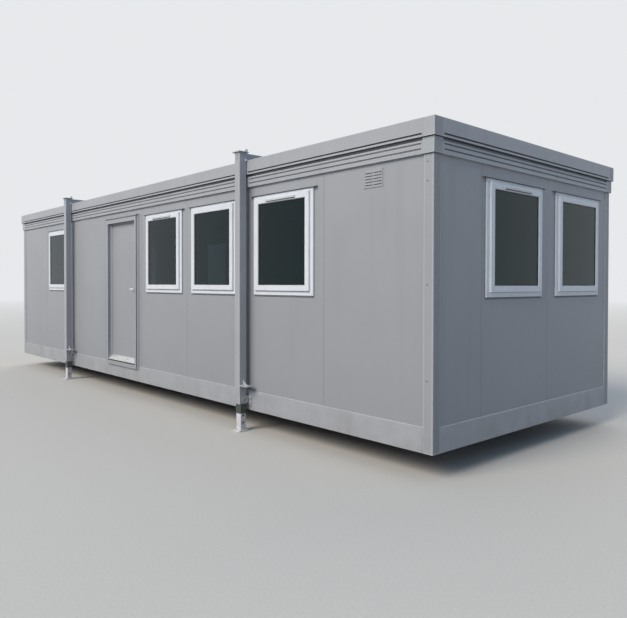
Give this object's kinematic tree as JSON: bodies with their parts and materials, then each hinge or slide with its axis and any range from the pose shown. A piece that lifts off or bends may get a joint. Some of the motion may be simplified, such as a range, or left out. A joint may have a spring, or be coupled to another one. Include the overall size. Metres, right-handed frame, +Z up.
{
  "type": "portable site cabin",
  "caption": "Flat-roofed portable cabin on pinned jack legs, with grooved fascia, white windows and a side door.",
  "frame": {"origin": "on the ground under the middle of the cabin", "axes": "+X along the length, the wall with the door faces -Y, +Z up"},
  "size_m": [10.002, 3.455, 2.9919],
  "materials": {
    "body_paint": "satin light grey coating",
    "chassis_paint": "dark primer",
    "collar_paint": "dark green paint",
    "inner_leg_paint": "white paint",
    "bare_steel": "zinc plated",
    "floor_board": "plywood",
    "roof_board": "white lined board",
    "roof_steel": "coated sheet",
    "white_plastic": "white window plastic",
    "grey_plastic": "grey plastic",
    "window_glass": "clear sealed unit",
    "aluminium": "mill finish, worn",
    "silver": "satin anodised"
  },
  "bodies": {
    "cabin": {"chassis_side_rails": "body_paint", "chassis_end_rails": "body_paint", "chassis_cross_members": "chassis_paint", "floor_deck": "floor_board", "corner_posts": "body_paint", "front_window_panels": "body_paint", "front_vent_panel": "body_paint", "front_plain_panels": "body_paint", "front_door_panel_left": "body_paint", "front_door_panel_right": "body_paint", "front_door_panel_head": "body_paint", "back_wall_panels": "body_paint", "right_end_panels": "body_paint", "left_end_panels": "body_paint", "roof_deck": "roof_board", "roof_sheet": "roof_steel", "fascia_upper_band": "body_paint", "fascia_lower_band": "body_paint", "fascia_corner_caps": "body_paint", "roof_beams": "body_paint", "leg_tubes": "body_paint", "leg_caps": "body_paint", "inner_legs": "inner_leg_paint", "leg_collars": "collar_paint", "leg_pins": "collar_paint", "jack_brackets": "body_paint", "leg_cleats": "body_paint", "window_frames": "white_plastic", "window_sashes": "white_plastic", "window_glass": "window_glass", "window_drips": "body_paint", "trickle_vents": "grey_plastic", "vent_grille": "body_paint", "door_jamb_hinge_side": "body_paint", "door_jamb_lock_side": "body_paint", "door_head": "body_paint", "door_sill": "body_paint", "door_threshold": "aluminium", "hinge_frame_leaves": "bare_steel", "hinge_pins": "bare_steel"},
    "door": {"door_leaf": "body_paint", "door_handle_plates": "silver", "door_lock": "silver", "hinge_door_leaves": "bare_steel"},
    "levers": {"door_levers": "silver"}
  },
  "joints": [
    {"name": "door_hinge", "type": "hinge", "parent": "cabin", "child": "door", "pos_m": [-1.0375, -1.5017, 1.4645], "axis": [0, 0, 1], "range_deg": [0, 90]},
    {"name": "lever_turn", "type": "hinge", "parent": "door", "child": "levers", "pos_m": [-0.217, -1.531, 1.49], "axis": [0, -1, 0], "range_deg": [0, 35], "stiffness_Nm_per_rad": 1, "springref_deg": -22.92}
  ]
}
